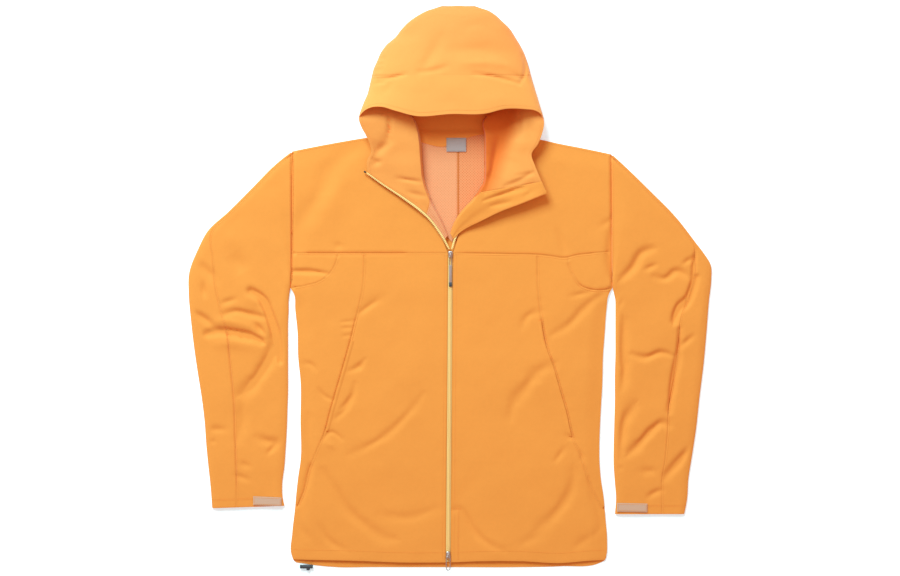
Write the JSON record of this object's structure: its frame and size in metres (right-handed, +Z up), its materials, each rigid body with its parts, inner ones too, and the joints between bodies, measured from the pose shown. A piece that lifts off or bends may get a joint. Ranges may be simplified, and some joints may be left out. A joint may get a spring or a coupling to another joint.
{
  "type": "running jacket",
  "caption": "Hooded soft-shell running jacket with a two-way front zip, laid flat on its back with the collar opened and the sleeves folded down.",
  "frame": {"origin": "under the middle of the laid jacket, on the surface that it rests on", "axes": "+Z up from the surface, the jacket's front faces +Z; +Y towards the hood, -Y towards the hem; the wearer's right side is at -X"},
  "size_m": [0.888, 0.9588, 0.057],
  "materials": {
    "shell_cloth": "matte orange soft-shell with a fine weave",
    "hood_cloth": "same soft-shell, a little lighter, double layer",
    "mesh_lining": "peach warp-knit mesh",
    "zip_teeth": "moulded plastic teeth on pale woven tape",
    "slider_metal": "satin grey metal",
    "cord_lock_plastic": "dark grey moulded plastic",
    "label_cloth": "plain grey woven label",
    "cuff_tab_cloth": "beige hook-and-loop tab"
  },
  "bodies": {
    "root": {"back": "shell_cloth", "back_lining_L": "mesh_lining", "back_lining_R": "mesh_lining", "chest_L": "shell_cloth", "chest_R": "shell_cloth", "cord_lock": "cord_lock_plastic", "cuff_tab_L": "cuff_tab_cloth", "cuff_tab_R": "cuff_tab_cloth", "front_facing_L": "shell_cloth", "front_lining_R": "mesh_lining", "gusset_L": "shell_cloth", "gusset_R": "shell_cloth", "hood_back": "hood_cloth", "hood_brim": "hood_cloth", "hood_crown": "hood_cloth", "hood_side_L": "hood_cloth", "hood_side_R": "hood_cloth", "neck_label": "label_cloth", "pocket_welt_L": "shell_cloth", "pocket_welt_R": "shell_cloth", "side_L": "shell_cloth", "side_R": "shell_cloth", "sleeve_elbow_L": "shell_cloth", "sleeve_elbow_R": "shell_cloth", "sleeve_main_L": "shell_cloth", "sleeve_main_R": "shell_cloth", "slider_bottom": "slider_metal", "slider_top": "slider_metal", "yoke_L": "shell_cloth", "yoke_R": "shell_cloth", "zip_chain": "zip_teeth", "zip_half_L": "zip_teeth", "zip_half_R": "zip_teeth"},
    "pull_top": {"pull_top": "slider_metal"},
    "pull_bottom": {"pull_bottom": "slider_metal"}
  },
  "joints": [
    {"name": "pull_top_swing", "type": "hinge", "parent": "root", "child": "pull_top", "pos_m": [0.00076, 0.0542, 0.0109], "axis": [-1, 0, 0], "range_deg": [0, 150]},
    {"name": "pull_bottom_swing", "type": "hinge", "parent": "root", "child": "pull_bottom", "pos_m": [-0.00308, -0.4558, 0.01005], "axis": [-1, 0, 0], "range_deg": [0, 150]}
  ]
}
